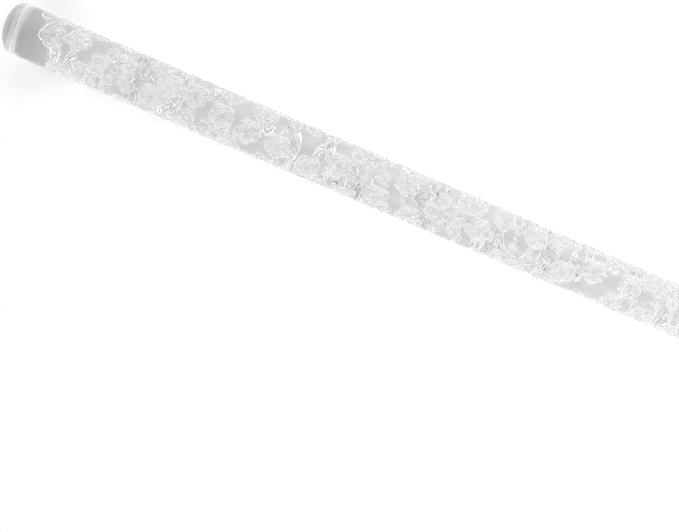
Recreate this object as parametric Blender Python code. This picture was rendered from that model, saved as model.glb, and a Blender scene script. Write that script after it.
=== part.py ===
"""A clear acrylic texture rolling pin: one solid rod, lying along X on the ground, with scattered blossoms
engraved all round it between two plain end bands."""

import math

import bmesh
import bpy
from mathutils import Vector
from mathutils.geometry import delaunay_2d_cdt

PIN_LENGTH = 0.330
PIN_DIAMETER = 0.020
END_CHAMFER = 0.0018
PLAIN_BAND = 0.008

# The blossoms repeat along the rod, and each repeat is turned on by a quarter of the way round.
PATTERN_PITCH = 0.064
PATTERN_START = 0.0438
LARGE_BLOSSOM_DIAMETER = 0.0195
SMALL_BLOSSOM_DIAMETER = 0.0106
ENGRAVING_DEPTH = 0.0009
GAP_POINT_SPACING = 0.0030
GAP_POINT_CLEARANCE = 0.0016
SEAM_TOLERANCE = 0.000005
TRIANGULATION_TOLERANCE = 0.0000002

SIDES = 24
SEAM_SIDES_FROM_BOTTOM = 6.5
PITCH_TURN_SHARE = -0.25
FIRST_TURN_SHARE = 0.75
SMOOTH_ANGLE = math.radians(35)
ACRYLIC_COLOR = (0.93, 0.94, 0.945, 1)
ACRYLIC_IOR = 1.49
ACRYLIC_ROUGHNESS = 0.03

# Places in one repeat: the share of the pitch along the rod, and the share of a turn round it.
LARGE_PLACE_SHARES = [(0.0, 0.0), (0.116, 0.470), (0.528, 0.833), (0.604, 0.355)]
SMALL_PLACE_SHARES = [
    (0.033, 0.210),
    (0.075, 0.771),
    (0.242, 0.163),
    (0.245, 0.936),
    (0.258, 0.623),
    (0.327, 0.480),
    (0.314, 0.773),
    (0.324, 0.048),
    (0.408, 0.252),
    (0.455, 0.612),
    (0.486, 0.058),
    (0.666, 0.001),
    (0.668, 0.581),
    (0.689, 0.163),
    (0.746, 0.840),
    (0.824, 0.643),
    (0.828, 0.318),
    (0.839, 0.975),
    (0.902, 0.122),
    (0.904, 0.435),
]

# Small blossoms that fill the pattern up to the plain bands: the distance from the left end, or from the right
# end, and the share of a turn round the rod.
LEFT_END_PLACES = [(0.0181, 0.796), (0.0156, 0.930), (0.0146, 0.075)]
RIGHT_END_PLACES = [(0.0144, 0.530), (0.0140, 0.060)]

# The five unequal petals of a large blossom: direction in degrees, reach as a share of the radius, half width
# in degrees.
LARGE_PETALS = [
    (-107, 0.84, 27),
    (-38, 1.00, 25),
    (42, 0.92, 36),
    (118, 0.94, 26),
    (177, 1.06, 29),
]
# Corners of a petal's outer edge and of the raised face inside it: the share of its half width, and of its reach.
PETAL_EDGE_SHARES = [(-1.0, 0.64), (-0.58, 0.97), (0.58, 0.97), (1.0, 0.64)]
PETAL_FACE_SHARES = [(0.0, 0.37), (-0.50, 0.60), (-0.30, 0.79), (0.30, 0.79), (0.50, 0.60)]
PETAL_FACE_MIDDLE_SHARE = 0.62
NOTCH_SHARE = 0.42
LARGE_BOSS_SHARE = 0.16
SMALL_FIRST_LOBE_DEG = -88
SMALL_LOBES = 5
# Corners of one lobe of a small blossom: the share of a lobe's angle, and of the radius.
SMALL_LOBE_SHARES = [(-0.27, 0.97), (0.27, 0.97), (0.5, 0.72)]

RADIUS = PIN_DIAMETER / 2
TURN = math.tau * RADIUS


def clear_scene():
    for leftover in list(bpy.data.objects):
        bpy.data.objects.remove(leftover, do_unlink=True)


def acrylic_material():
    material = bpy.data.materials.new("clear_acrylic")
    material.use_nodes = True
    shader = material.node_tree.nodes["Principled BSDF"]
    shader.inputs["Base Color"].default_value = ACRYLIC_COLOR
    shader.inputs["Roughness"].default_value = ACRYLIC_ROUGHNESS
    shader.inputs["IOR"].default_value = ACRYLIC_IOR
    shader.inputs["Transmission Weight"].default_value = 1
    return material


def polar(center, degrees, distance):
    angle = math.radians(degrees)
    return (center[0] + distance * math.cos(angle), center[1] + distance * math.sin(angle))


def large_outline(center):
    radius = LARGE_BLOSSOM_DIAMETER / 2
    corners = []
    for index, (degrees, reach, half_width) in enumerate(LARGE_PETALS):
        for across, along in PETAL_EDGE_SHARES:
            corners.append(polar(center, degrees + across * half_width, along * reach * radius))
        next_degrees, _, next_width = LARGE_PETALS[(index + 1) % len(LARGE_PETALS)]
        gap_start = degrees + half_width
        gap_end = degrees + (next_degrees - degrees) % 360 - next_width
        corners.append(polar(center, (gap_start + gap_end) / 2, NOTCH_SHARE * radius))
    return corners


def large_faces(center):
    """The raised faces inside a large blossom: one in each petal and the boss at its middle."""
    radius = LARGE_BLOSSOM_DIAMETER / 2
    faces = []
    for degrees, reach, half_width in LARGE_PETALS:
        faces.append([
            polar(center, degrees + across * half_width, along * reach * radius)
            for across, along in PETAL_FACE_SHARES
        ])
    faces.append([
        polar(center, degrees, LARGE_BOSS_SHARE * radius) for degrees, _, _ in LARGE_PETALS
    ])
    return faces


def large_face_middles(center):
    radius = LARGE_BLOSSOM_DIAMETER / 2
    return [
        polar(center, degrees, PETAL_FACE_MIDDLE_SHARE * reach * radius) for degrees, reach, _ in LARGE_PETALS
    ]


def small_outline(center):
    radius = SMALL_BLOSSOM_DIAMETER / 2
    lobe = 360 / SMALL_LOBES
    return [
        polar(center, SMALL_FIRST_LOBE_DEG + (index + across) * lobe, along * radius)
        for index in range(SMALL_LOBES)
        for across, along in SMALL_LOBE_SHARES
    ]


def places(shares, radius):
    """Centres of the blossoms that lie wholly between the plain bands."""
    first = -math.ceil(PATTERN_START / PATTERN_PITCH)
    last = math.ceil((PIN_LENGTH - PATTERN_START) / PATTERN_PITCH)
    found = []
    for repeat in range(first, last + 1):
        for along, around in shares:
            length = PATTERN_START + (repeat + along) * PATTERN_PITCH
            turn = (around + FIRST_TURN_SHARE + repeat * PITCH_TURN_SHARE) % 1
            if PLAIN_BAND + radius < length < PIN_LENGTH - PLAIN_BAND - radius:
                found.append((length, turn * TURN))
    return found


def end_places(radius):
    """Centres of the small blossoms that fill the pattern up to the plain bands."""
    found = [(from_end, turn * TURN) for from_end, turn in LEFT_END_PLACES]
    found.extend((PIN_LENGTH - from_end, turn * TURN) for from_end, turn in RIGHT_END_PLACES)
    nearest = PLAIN_BAND + radius
    return [place for place in found if nearest < place[0] < PIN_LENGTH - nearest]


def split_at_seam(corners):
    """The same outline with a corner wherever it crosses the seam, so that both sides of the seam match."""
    result = []
    for index, start in enumerate(corners):
        end = corners[(index + 1) % len(corners)]
        result.append(start)
        for seam in (0.0, TURN):
            if (start[1] - seam) * (end[1] - seam) < 0:
                share = (seam - start[1]) / (end[1] - start[1])
                result.append((start[0] + share * (end[0] - start[0]), seam))
    return result


def copies(corners):
    """The outline, and its copy a turn away if it reaches over the seam."""
    split = split_at_seam(corners)
    arounds = [around for _, around in split]
    shifts = [0.0]
    if min(arounds) < 0:
        shifts.append(TURN)
    if max(arounds) > TURN:
        shifts.append(-TURN)
    return [[(length, around + shift) for length, around in split] for shift in shifts]


def spacing(first, second):
    around = abs(first[1] - second[1]) % TURN
    return math.hypot(first[0] - second[0], min(around, TURN - around))


def gap_points(blossoms):
    """Points between the blossoms, close enough together that the surface stays round."""
    rows = round(TURN / GAP_POINT_SPACING)
    columns = int((PIN_LENGTH - 2 * PLAIN_BAND) / GAP_POINT_SPACING)
    points = []
    for column in range(1, columns):
        for row in range(rows):
            length = PLAIN_BAND + column * GAP_POINT_SPACING
            around = (row + 0.25 + 0.5 * (column % 2)) / rows * TURN
            if all(is_clear((length, around), *blossom) for blossom in blossoms):
                points.append((length, around))
    return points


def is_clear(point, center, outline):
    """Whether the point lies outside a blossom and not too near its outline."""
    nearest = min(outline, key=lambda corner: spacing(corner, point))
    gap = spacing(nearest, point)
    return gap > GAP_POINT_CLEARANCE and spacing(center, point) > spacing(center, nearest)


class Layout:
    """The unrolled surface: every outline laid out flat, ready to be triangulated as one sheet."""

    def __init__(self):
        self.points = []
        self.polygons = []
        self.kinds = []

    def add(self, kind, corners):
        start = len(self.points)
        self.points.extend(corners)
        self.polygons.append(list(range(start, len(self.points))))
        self.kinds.append(kind)

    def add_points(self, points):
        self.points.extend((length, around % TURN) for length, around in points)

    def add_blossom(self, outline, faces):
        for kind, shapes in (("recess", [outline]), ("raised", faces)):
            for shape in shapes:
                for copy in copies(shape):
                    self.add(kind, copy)


def pattern_layout():
    start, end = PLAIN_BAND, PIN_LENGTH - PLAIN_BAND
    layout = Layout()
    layout.add("sheet", [(start, 0.0), (end, 0.0), (end, TURN), (start, TURN)])
    for side in range(1, SIDES):
        around = TURN * side / SIDES
        layout.points.extend([(start, around), (end, around)])
    large, small = LARGE_BLOSSOM_DIAMETER / 2, SMALL_BLOSSOM_DIAMETER / 2
    blossoms = []
    for center in places(LARGE_PLACE_SHARES, large):
        outline = large_outline(center)
        layout.add_blossom(outline, large_faces(center))
        layout.add_points(large_face_middles(center))
        blossoms.append((center, outline))
    for center in places(SMALL_PLACE_SHARES, small) + end_places(small):
        outline = small_outline(center)
        layout.add_blossom(outline, [])
        layout.add_points([center])
        blossoms.append((center, outline))
    layout.add_points(gap_points(blossoms))
    return layout


def triangulate(layout):
    """Flat points, and triangles with a mark that tells whether they lie at the bottom of the engraving."""
    points, _, triangles, _, _, sources = delaunay_2d_cdt(
        [Vector(point) for point in layout.points], [], layout.polygons, 0, TRIANGULATION_TOLERANCE
    )
    marked = []
    for triangle, source in zip(triangles, sources):
        kinds = {layout.kinds[index] for index in source}
        if "sheet" in kinds:
            marked.append((triangle, "recess" in kinds and "raised" not in kinds))
    return points, marked


def closed_seam(points):
    """For each flat point the one that stands for it, so that the two edges of the sheet become one."""
    near = [index for index, point in enumerate(points) if abs(point[1]) < SEAM_TOLERANCE]
    stands_for = list(range(len(points)))
    for index, point in enumerate(points):
        if abs(point[1] - TURN) < SEAM_TOLERANCE:
            stands_for[index] = min(near, key=lambda other: abs(points[other][0] - point[0]))
    return stands_for


def on_rod(length, around, depth):
    """A point of the unrolled surface, put on the many-sided rod that stands on one of its sides."""
    side = math.tau / SIDES
    from_bottom = SEAM_SIDES_FROM_BOTTOM * side - around / RADIUS
    local = (from_bottom + side / 2) % side - side / 2
    distance = (RADIUS - depth) / math.cos(local)
    y = distance * math.sin(from_bottom)
    z = RADIUS - distance * math.cos(from_bottom)
    return (length - PIN_LENGTH / 2, y, z)


def add_pattern(mesh):
    """Adds the engraved length of the rod."""
    points, triangles = triangulate(pattern_layout())
    stands_for = closed_seam(points)
    made = {}

    def vertex(index, deep):
        index = stands_for[index]
        if (index, deep) not in made:
            length, around = points[index]
            made[index, deep] = mesh.verts.new(on_rod(length, around, ENGRAVING_DEPTH if deep else 0))
        return made[index, deep]

    sides_of = {}
    for triangle, deep in triangles:
        mesh.faces.new([vertex(index, deep) for index in triangle])
        for start, end in zip(triangle, triangle[1:] + triangle[:1]):
            sides_of[stands_for[start], stands_for[end]] = deep
    for (start, end), deep in sides_of.items():
        if deep and not sides_of.get((end, start), True):
            mesh.faces.new([vertex(start, False), vertex(start, True), vertex(end, True), vertex(end, False)])


def add_end(mesh, outward):
    """Adds a plain band, its chamfer and its flat end face; outward is -1 at the left end and 1 at the right."""
    rings = []
    for from_end, inset in ((PLAIN_BAND, 0), (END_CHAMFER, 0), (0, END_CHAMFER)):
        length = from_end if outward < 0 else PIN_LENGTH - from_end
        rings.append([mesh.verts.new(on_rod(length, TURN * side / SIDES, inset)) for side in range(SIDES)])
    for inner, outer in zip(rings, rings[1:]):
        for side in range(SIDES):
            after = (side + 1) % SIDES
            mesh.faces.new([inner[side], inner[after], outer[after], outer[side]])
    mesh.faces.new(rings[-1])


def add_pin(material):
    mesh = bmesh.new()
    add_pattern(mesh)
    add_end(mesh, -1)
    add_end(mesh, 1)
    bmesh.ops.remove_doubles(mesh, verts=mesh.verts, dist=SEAM_TOLERANCE)
    bmesh.ops.recalc_face_normals(mesh, faces=mesh.faces)
    data = bpy.data.meshes.new("embossing_rod")
    mesh.to_mesh(data)
    mesh.free()
    data.shade_smooth()
    data.set_sharp_from_angle(angle=SMOOTH_ANGLE)
    data.materials.append(material)
    rod = bpy.data.objects.new("embossing_rod", data)
    bpy.context.scene.collection.objects.link(rod)
    return rod


def main():
    clear_scene()
    add_pin(acrylic_material())


main()
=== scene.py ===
import math
import bmesh
import bpy
import numpy as np
from mathutils import Matrix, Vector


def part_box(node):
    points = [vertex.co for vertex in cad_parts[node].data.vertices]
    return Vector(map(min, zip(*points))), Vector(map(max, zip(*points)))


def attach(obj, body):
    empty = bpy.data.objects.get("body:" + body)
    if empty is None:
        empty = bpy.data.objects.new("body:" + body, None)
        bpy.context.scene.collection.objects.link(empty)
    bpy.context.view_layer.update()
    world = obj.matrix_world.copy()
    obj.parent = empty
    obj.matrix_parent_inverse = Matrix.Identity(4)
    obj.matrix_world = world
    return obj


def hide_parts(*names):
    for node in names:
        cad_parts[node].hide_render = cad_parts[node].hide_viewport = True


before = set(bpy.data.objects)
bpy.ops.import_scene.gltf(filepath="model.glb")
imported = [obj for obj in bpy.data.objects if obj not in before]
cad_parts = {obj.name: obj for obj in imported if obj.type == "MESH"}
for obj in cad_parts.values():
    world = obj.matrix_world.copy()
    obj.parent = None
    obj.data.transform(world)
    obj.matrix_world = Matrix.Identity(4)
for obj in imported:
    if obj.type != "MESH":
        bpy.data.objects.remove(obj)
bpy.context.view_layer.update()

rodLow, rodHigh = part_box("embossing_rod")
rodLength = rodHigh.x - rodLow.x
rodRadius = (rodHigh.z - rodLow.z) / 2
rodTurn = math.tau * rodRadius


# Engraved rod

rodShape = {
    "segmentsAround": 134,
    "stepAlong": 0.00046,
    "plainBand": 0.008,
    "bandRings": 3,             # few enough that the first is longer than the chamfer
    "chamfer": 0.0018,
    "chamferDegrees": 30,       # edges sharper than this are the chamfer's own, and are rounded
    "edgeRounding": 0.0006,
    "roundingSegments": 6,
    "sharpDegrees": 10,         # edges sharper than this are shaded as edges
    "levelTolerance": 1e-6,     # an edge whose ends differ by less along the rod runs round it
}

# The places repeat along the rod, and each repeat is turned on by a quarter of the way round.
# A place is a share of the pitch along the rod and a share of a turn round it.
patternLayout = {
    "pitch": 0.064,
    "start": 0.0438,
    "pitchTurn": -0.25,
    "firstTurn": 0.75,
    "seamDegrees": 97.5,        # where the turns are counted from, round from the bottom of the rod
    "depth": 0.00088,
    "reach": 1.25,              # times its radius, past which nothing of a blossom is cut
    "largePlaces": [(0.0, 0.0), (0.116, 0.470), (0.528, 0.833), (0.604, 0.355)],
    "smallPlaces": [
        (0.033, 0.210), (0.075, 0.771), (0.242, 0.163), (0.245, 0.936), (0.258, 0.623),
        (0.327, 0.480), (0.314, 0.773), (0.324, 0.048), (0.408, 0.252), (0.455, 0.612),
        (0.486, 0.058), (0.666, 0.001), (0.668, 0.581), (0.689, 0.163), (0.746, 0.840),
        (0.824, 0.643), (0.828, 0.318), (0.839, 0.975), (0.902, 0.122), (0.904, 0.435),
    ],
    # Small blossoms that fill the pattern up to the plain bands: distance from that end, share of a turn.
    "leftEndPlaces": [(0.0181, 0.796), (0.0156, 0.930), (0.0146, 0.075)],
    "rightEndPlaces": [(0.0144, 0.530), (0.0140, 0.060)],
}

# Each petal: direction in degrees, then its reach and half its width as shares of the blossom's radius.
largeBlossom = {
    "radius": 0.00975,
    "petals": [
        (-107, 0.84, 0.20),
        (-38, 1.00, 0.19),
        (42, 0.92, 0.29),
        (118, 0.94, 0.20),
        (177, 1.06, 0.26),
    ],
    "petalRoot": 0.26,
    "veinReach": 0.66,
    "veinWidth": 0.0006,
    "veinDepth": 0.7,           # share of the full depth
    "ringRadius": 0.17,
    "outerSlope": 0.00085,
    "innerSlope": 0.0012,
    "leastSlope": 1e-6,         # keeps the middle of a petal from a division by zero
}

# The lobes stand open round five ridges that meet in the middle.
smallBlossom = {
    "radius": 0.0053,
    "firstLobeDegrees": -88,
    "lobes": 5,
    "notch": 0.20,
    "lobeFullness": 0.8,        # under 1 for lobes rounder than a cosine
    "ridgeReach": 0.50,
    "ridgeWidth": 0.0002,
    "ridgeSlope": 0.0009,
    "wallSlope": 0.0008,
}

metreInMillimetres = 1000


# 0 at the lip, 1 at the bottom of a sloping wall, with both turns eased.
def wall(distance, slope):
    share = np.clip(distance / slope, 0, 1)
    return share * share * (3 - 2 * share)


# Share of the full depth at a distance from the middle of a groove.
def groove(distance, slope):
    return 1 - wall(np.abs(distance), slope)


def alongDirection(du, dv, degrees):
    angle = math.radians(degrees)
    along = du * math.cos(angle) + dv * math.sin(angle)
    across = dv * math.cos(angle) - du * math.sin(angle)
    return along, across


# Distance from the line that runs outward from the middle between two reaches.
def fromRay(du, dv, degrees, start, end):
    along, across = alongDirection(du, dv, degrees)
    beyond = np.maximum(along - end, 0) + np.maximum(start - along, 0)
    return np.hypot(across, beyond)


# Depth share of a large blossom, and the distance from the line that its grooves follow.
def largeRelief(du, dv):
    shape = largeBlossom
    radius, outer, inner = shape["radius"], shape["outerSlope"], shape["innerSlope"]
    fromLine = np.hypot(du, dv) - shape["ringRadius"] * radius
    relief = groove(fromLine, outer)
    for degrees, reach, halfWidth in shape["petals"]:
        along, across = alongDirection(du, dv, degrees)
        root, tip = shape["petalRoot"] * radius, reach * radius - outer
        middle, halfLength = (root + tip) / 2, (tip - root) / 2
        x, y = (along - middle) / halfLength, across / (halfWidth * radius)
        scaled = np.hypot(x, y)
        slope = np.hypot(x / halfLength, y / (halfWidth * radius))
        edge = scaled * (scaled - 1) / np.maximum(slope, shape["leastSlope"])
        petal = groove(edge, np.where(edge > 0, outer, inner))
        fromLine = np.where(petal > relief, edge, fromLine)
        relief = np.maximum(relief, petal)
        vein = fromRay(du, dv, degrees, root, shape["veinReach"] * reach * radius)
        relief = np.maximum(relief, shape["veinDepth"] * groove(vein, shape["veinWidth"]))
    return relief, fromLine


# Depth share of a small blossom, and the distance in from its outline.
def smallRelief(du, dv):
    shape = smallBlossom
    radius = shape["radius"]
    turn = np.arctan2(dv, du) - math.radians(shape["firstLobeDegrees"])
    bulge = np.abs(np.cos(turn * shape["lobes"] / 2)) ** shape["lobeFullness"]
    fromLine = radius * (1 - shape["notch"] * (1 - bulge)) - np.hypot(du, dv)
    relief = wall(fromLine, shape["wallSlope"])
    for lobe in range(shape["lobes"]):
        degrees = shape["firstLobeDegrees"] + lobe * 360 / shape["lobes"]
        ridge = fromRay(du, dv, degrees, 0, shape["ridgeReach"] * radius)
        relief = np.minimum(relief, wall(ridge - shape["ridgeWidth"], shape["ridgeSlope"]))
    return relief, fromLine


# Distance from the left end and distance round the rod of each blossom between the plain bands.
def blossomPlaces(places, radius):
    layout, found = patternLayout, []
    border = rodShape["plainBand"] + radius
    for repeat in range(-1, math.ceil(rodLength / layout["pitch"]) + 1):
        for along, around in places:
            distance = layout["start"] + (repeat + along) * layout["pitch"]
            turn = (around + layout["firstTurn"] + repeat * layout["pitchTurn"]) % 1
            if border < distance < rodLength - border:
                found.append((distance, turn * rodTurn))
    return found


def endPlaces():
    layout = patternLayout
    fromLeft = [(distance, turn * rodTurn) for distance, turn in layout["leftEndPlaces"]]
    fromRight = [(rodLength - distance, turn * rodTurn) for distance, turn in layout["rightEndPlaces"]]
    return fromLeft + fromRight


# Depth share of the engraving at points given by their distance along and round the rod, and the distance
# from the line that the cutter followed there.
def engraving(along, around):
    layout = patternLayout
    depth, fromLine = np.zeros_like(along), np.zeros_like(along)
    large = blossomPlaces(layout["largePlaces"], largeBlossom["radius"])
    small = blossomPlaces(layout["smallPlaces"], smallBlossom["radius"]) + endPlaces()
    for places, shape, reliefOf in ((large, largeBlossom, largeRelief), (small, smallBlossom, smallRelief)):
        for placeAlong, placeAround in places:
            du = along - placeAlong
            dv = (around - placeAround + rodTurn / 2) % rodTurn - rodTurn / 2
            near = np.hypot(du, dv) < shape["radius"] * layout["reach"]
            relief, line = reliefOf(du[near], dv[near])
            fromLine[near] = np.where(relief > depth[near], line, fromLine[near])
            depth[near] = np.maximum(depth[near], relief)
    return depth, fromLine


# The flat ends are the only faces with more corners than a quad.
def flatEnds(bm):
    return [face for face in bm.faces if len(face.verts) > 4]


def divideAlong(bm, edges, parts):
    tolerance = rodShape["levelTolerance"]
    lengthwise = [edge for edge in edges if abs(edge.verts[0].co.x - edge.verts[1].co.x) > tolerance]
    bmesh.ops.subdivide_edges(bm, edges=lengthwise, cuts=parts - 1, use_grid_fill=True)


# A round rod along X, finely divided between its plain bands, with rounded rims.
def roundRod(bm):
    shape = rodShape
    patternLength = rodLength - 2 * shape["plainBand"]
    bmesh.ops.create_cone(
        bm, cap_ends=True, segments=shape["segmentsAround"],
        radius1=rodRadius, radius2=rodRadius, depth=patternLength,
    )
    bmesh.ops.rotate(bm, verts=bm.verts, cent=(0, 0, 0), matrix=Matrix.Rotation(math.radians(90), 3, "Y"))
    bmesh.ops.translate(bm, verts=bm.verts, vec=(0, 0, rodRadius))
    divideAlong(bm, bm.edges[:], round(patternLength / shape["stepAlong"]))
    for cap in flatEnds(bm):
        outward = math.copysign(1, cap.calc_center_median().x)
        end = bmesh.ops.extrude_discrete_faces(bm, faces=[cap])["faces"][0]
        bmesh.ops.translate(bm, verts=end.verts, vec=(outward * shape["plainBand"], 0, 0))
        bandEdges = [edge for vert in end.verts for edge in vert.link_edges if edge not in end.edges]
        divideAlong(bm, bandEdges, shape["bandRings"])
    rims = [edge for face in flatEnds(bm) for edge in face.edges]
    bmesh.ops.bevel(
        bm, geom=rims, offset=shape["chamfer"], segments=1,
        affect="EDGES", profile=0.5, material=-1,
    )
    corners = [edge for edge in bm.edges if edge.calc_face_angle() > math.radians(shape["chamferDegrees"])]
    bmesh.ops.bevel(
        bm, geom=corners, offset=shape["edgeRounding"], segments=shape["roundingSegments"],
        affect="EDGES", profile=0.5, material=-1,
    )


# Presses the blossoms into the mesh, and keeps three values of each point for the material: its share of
# the full depth, its distance in millimetres from the cutter's line, and its share of the turned ends.
def engrave(mesh):
    points = np.empty(len(mesh.vertices) * 3, np.float32)
    mesh.vertices.foreach_get("co", points)
    points = points.reshape(-1, 3).astype(float)
    y, z = points[:, 1], points[:, 2] - rodRadius
    around = ((math.radians(patternLayout["seamDegrees"]) - np.arctan2(y, -z)) % math.tau) * rodRadius
    depth, fromLine = engraving(points[:, 0] + rodLength / 2, around)
    shrink = 1 - depth * patternLayout["depth"] / rodRadius
    points[:, 1] = y * shrink
    points[:, 2] = z * shrink + rodRadius
    mesh.vertices.foreach_set("co", points.astype(np.float32).ravel())
    fromEnd = rodLength / 2 - np.abs(points[:, 0])
    satin = np.clip(1 - (fromEnd - rodShape["chamfer"]) / rodShape["edgeRounding"], 0, 1)
    fromLine = np.where(satin > 0, fromEnd, fromLine) * metreInMillimetres
    for name, values in (("engraved", depth), ("fromLine", fromLine), ("satin", satin)):
        attribute = mesh.attributes.new(name, "FLOAT", "POINT")
        attribute.data.foreach_set("value", values.astype(np.float32))


def makeRod():
    bm = bmesh.new()
    roundRod(bm)
    bmesh.ops.recalc_face_normals(bm, faces=bm.faces)
    mesh = bpy.data.meshes.new("engravedRod")
    for face in bm.faces:
        face.smooth = True
    for edge in bm.edges:
        edge.smooth = edge.calc_face_angle() < math.radians(rodShape["sharpDegrees"])
    bm.to_mesh(mesh)
    bm.free()
    engrave(mesh)
    rod = bpy.data.objects.new("engravedRod", mesh)
    bpy.context.scene.collection.objects.link(rod)
    return rod


# Node helpers

# Puts a number or another node's output into an input.
def feed(tree, value, target):
    if isinstance(value, bpy.types.NodeSocket):
        tree.links.new(value, target)
    else:
        target.default_value = value


# Runs from one level to another between two values of a socket, and stays level past them.
def between(tree, socket, ends):
    (low, lowLevel), (high, highLevel) = ends
    ramp = tree.nodes.new("ShaderNodeMapRange")
    for name, value in (("From Min", low), ("From Max", high), ("To Min", lowLevel), ("To Max", highLevel)):
        feed(tree, value, ramp.inputs[name])
    feed(tree, socket, ramp.inputs["Value"])
    return ramp.outputs["Result"]


def combined(tree, operation, *values):
    node = tree.nodes.new("ShaderNodeMath")
    node.operation = operation
    for value, target in zip(values, node.inputs):
        feed(tree, value, target)
    return node.outputs[0]


def meshValue(tree, name):
    attribute = tree.nodes.new("ShaderNodeAttribute")
    attribute.attribute_name = name
    return attribute.outputs["Fac"]


# Noise over the piece's own coordinates.
def speckle(tree, scale, detail):
    noise = tree.nodes.new("ShaderNodeTexNoise")
    noise.inputs["Scale"].default_value = scale
    noise.inputs["Detail"].default_value = detail
    feed(tree, tree.nodes.new("ShaderNodeTexCoord").outputs["Object"], noise.inputs["Vector"])
    return noise.outputs["Fac"]


def bumped(tree, height, strength, depth):
    bump = tree.nodes.new("ShaderNodeBump")
    bump.inputs["Distance"].default_value = depth
    feed(tree, strength, bump.inputs["Strength"])
    feed(tree, height, bump.inputs["Height"])
    return bump


# Clear acrylic

acrylicLook = {
    "color": (0.965, 0.965, 0.96, 1),
    "ior": 1.49,
    "smudgeScale": 45,
    "smudgeDetail": 3,
    "smudged": (0.5, 0.75),     # noise levels between which the polish dulls from handling
    "smudgeRoughness": 0.03,
    "carvedRoughness": 0.03,
    "satinRoughness": 0.15,
    "carvedFrom": 0.25,         # share of the full depth at which the tool marks are full
    "cutterStep": 1.0,          # mm from one cutter line to the next
    "cutterDepth": 0.0003,
    "turnedShare": 0.6,         # strength of the cutter's lines on the turned ends, against the grooves
    "toolMarkScale": 480,
    "toolMarkDetail": 0,
    "toolMarkDepth": 0.0005,
}


def acrylicMaterial():
    look = acrylicLook
    material = bpy.data.materials.new("clearAcrylic")
    material.use_nodes = True
    tree = material.node_tree
    shader = tree.nodes["Principled BSDF"]
    shader.inputs["Base Color"].default_value = look["color"]
    shader.inputs["IOR"].default_value = look["ior"]
    shader.inputs["Transmission Weight"].default_value = 1
    engraved, fromLine, satin = [meshValue(tree, name) for name in ("engraved", "fromLine", "satin")]
    carved = between(tree, engraved, [(0, 0), (look["carvedFrom"], 1)])
    # Polished but for smudges between the blossoms, satin on the turned ends, and as cut in the grooves.
    cleanUpTo, dullFrom = look["smudged"]
    smudges = speckle(tree, look["smudgeScale"], look["smudgeDetail"])
    handled = between(tree, smudges, [(cleanUpTo, 0), (dullFrom, look["smudgeRoughness"])])
    frosted = between(tree, satin, [(0, handled), (1, look["satinRoughness"])])
    roughness = between(tree, carved, [(0, frosted), (1, look["carvedRoughness"])])
    feed(tree, roughness, shader.inputs["Roughness"])
    # The cutter leaves lines that follow the outlines, and finer marks over them.
    scallops = combined(tree, "SINE", combined(tree, "MULTIPLY", fromLine, math.tau / look["cutterStep"]))
    cut = combined(tree, "MAXIMUM", carved, combined(tree, "MULTIPLY", satin, look["turnedShare"]))
    cutterLines = bumped(tree, scallops, cut, look["cutterDepth"])
    marks = speckle(tree, look["toolMarkScale"], look["toolMarkDetail"])
    toolMarks = bumped(tree, marks, carved, look["toolMarkDepth"])
    feed(tree, cutterLines.outputs["Normal"], toolMarks.inputs["Normal"])
    feed(tree, toolMarks.outputs["Normal"], shader.inputs["Normal"])
    return material


# Studio

floorLook = {
    "size": 4,
    "drop": 0.00002,
    "shadowFillGreys": [(0.015, 0.93), (0.10, 0.74)],         # distance to the side of the rod, grey of the paper: painted lighter close to the rod, where its shadow falls, and darker far off, where more light reaches it
    # Place along the rod, glow that whitens the paper. The two add up: no glow under the left plain band,
    # a first rise just past it, and a slow one to the right end.
    "liftPastBand": [(-0.157, 0.0), (-0.138, 0.15)],
    "liftAlong": [(-0.138, 0.0), (0.165, 0.18)],
}
worldLook = {
    "strength": 0.83,
    # grey level by how far a direction leans to the sides of the rod: 0 over its length, 1 square to it
    "levels": [
        (0.0, 0.25), (0.2, 0.35), (0.35, 0.8), (0.5, 1.8),
        (0.62, 2.55), (0.78, 2.55), (0.9, 0.75), (1.0, 0.6),
    ],
    "rightFrom": 0.35,          # past this lean to the right the levels rise as they do to the sides
    "rightGain": 0.5,
    "leftLean": (-0.2, -0.4),   # where the side softboxes give way to the card past the left end
    "leftLevel": 0.95,
}
lampLook = {"position": (-0.65, 0.05, 0.50), "size": 0.25, "power": 0.9}
cameraLook = {
    "position": (-0.0341, -0.0320, 0.3147),
    "degrees": (-2.036, -2.940, 22.871),
    "lens": 41.355,
    "clipStart": 0.01,
}
# Light crosses many engraved walls on its way through the rod.
lightBounces = {"all": 32, "mirrored": 24, "through": 24}


def makeFloor():
    bm = bmesh.new()
    bmesh.ops.create_grid(bm, x_segments=1, y_segments=1, size=floorLook["size"] / 2)
    bmesh.ops.translate(bm, verts=bm.verts, vec=(0, 0, -floorLook["drop"]))
    mesh = bpy.data.meshes.new("studioFloor")
    bm.to_mesh(mesh)
    bm.free()
    floor = bpy.data.objects.new("studioFloor", mesh)
    bpy.context.scene.collection.objects.link(floor)
    floor.data.materials.append(floorMaterial())


# 1 for the rays that show the background: camera rays, and rays mirrored or bent by the object.
def seenRays(tree):
    path = tree.nodes.new("ShaderNodeLightPath").outputs
    throughObject = combined(tree, "MAXIMUM", path["Is Glossy Ray"], path["Is Transmission Ray"])
    return combined(tree, "MAXIMUM", path["Is Camera Ray"], throughObject)


def coordinates(tree, name):
    parts = tree.nodes.new("ShaderNodeSeparateXYZ")
    feed(tree, tree.nodes.new("ShaderNodeTexCoord").outputs[name], parts.inputs["Vector"])
    return parts.outputs


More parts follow.
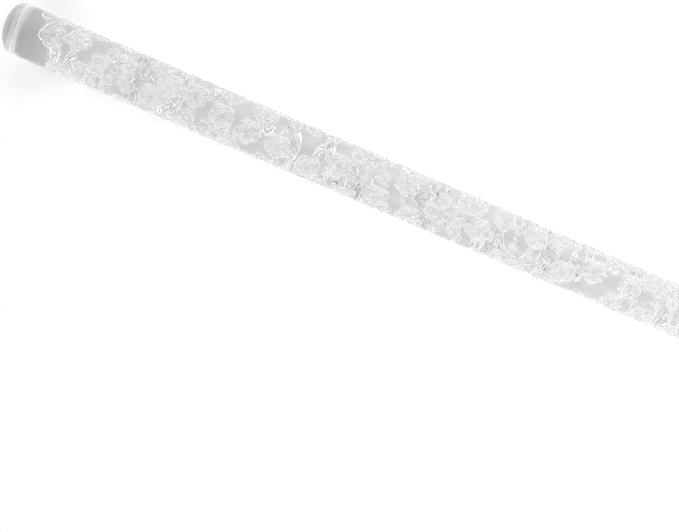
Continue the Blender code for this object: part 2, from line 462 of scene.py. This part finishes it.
def floorMaterial():
    look = floorLook
    material = bpy.data.materials.new("whiteFloor")
    material.use_nodes = True
    tree = material.node_tree
    tree.nodes.clear()
    place = coordinates(tree, "Object")
    paper = tree.nodes.new("ShaderNodeBsdfDiffuse")
    side = combined(tree, "ABSOLUTE", place["Y"])
    # Painted shade fill: the paper's grey is lighter close to the rod, against its shadow, and darker far
    # off, where it is lit more strongly.
    feed(tree, between(tree, side, look["shadowFillGreys"]), paper.inputs["Color"])
    lift = tree.nodes.new("ShaderNodeEmission")
    rises = [between(tree, place["X"], ends) for ends in (look["liftPastBand"], look["liftAlong"])]
    glow = combined(tree, "MULTIPLY", seenRays(tree), combined(tree, "ADD", *rises))
    feed(tree, glow, lift.inputs["Strength"])
    both = tree.nodes.new("ShaderNodeAddShader")
    for shader, target in zip((paper, lift), both.inputs):
        feed(tree, shader.outputs[0], target)
    output = tree.nodes.new("ShaderNodeOutputMaterial")
    feed(tree, both.outputs[0], output.inputs["Surface"])
    return material


def makeWorld():
    look = worldLook
    world = bpy.data.worlds.new("softRoom")
    world.use_nodes = True
    bpy.context.scene.world = world
    tree = world.node_tree
    direction = coordinates(tree, "Generated")
    right = [(look["rightFrom"], 0), (1, (1 - look["rightFrom"]) * look["rightGain"])]
    side = combined(tree, "ABSOLUTE", direction["Y"])
    lean = combined(tree, "ADD", side, between(tree, direction["X"], right))
    softboxes = tree.nodes.new("ShaderNodeValToRGB")
    feed(tree, lean, softboxes.inputs["Fac"])
    stops = softboxes.color_ramp.elements
    for position, _ in look["levels"][1:-1]:
        stops.new(position)
    for stop, (_, level) in zip(stops, look["levels"]):
        stop.color = (level, level, level, 1)
    cardFrom, cardFull = look["leftLean"]
    card = between(tree, direction["X"], [(cardFrom, 0), (cardFull, 1)])
    room = between(tree, card, [(0, softboxes.outputs["Color"]), (1, look["leftLevel"])])
    background = tree.nodes["Background"]
    background.inputs["Strength"].default_value = look["strength"]
    feed(tree, room, background.inputs["Color"])


def makeLamp():
    light = bpy.data.lights.new("softbox", "AREA")
    light.size = lampLook["size"]
    light.energy = lampLook["power"]
    lamp = bpy.data.objects.new("softbox", light)
    lamp.location = lampLook["position"]
    lamp.rotation_euler = (-lamp.location).to_track_quat("-Z", "Y").to_euler()
    bpy.context.scene.collection.objects.link(lamp)


def makeCamera():
    camera = bpy.data.objects.new("camera", bpy.data.cameras.new("camera"))
    camera.data.lens = cameraLook["lens"]
    camera.data.clip_start = cameraLook["clipStart"]
    camera.location = cameraLook["position"]
    camera.rotation_euler = [math.radians(angle) for angle in cameraLook["degrees"]]
    bpy.context.scene.collection.objects.link(camera)
    bpy.context.scene.camera = camera


makeCamera()
makeFloor()
makeWorld()
makeLamp()
print("studio ready")

rod = makeRod()
rod.data.materials.append(acrylicMaterial())
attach(rod, "root")
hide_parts("embossing_rod")
print("rod ready:", len(rod.data.polygons), "faces")

bpy.context.scene.view_settings.view_transform = "Standard"
bpy.context.scene.cycles.max_bounces = lightBounces["all"]
bpy.context.scene.cycles.glossy_bounces = lightBounces["mirrored"]
bpy.context.scene.cycles.transmission_bounces = lightBounces["through"]
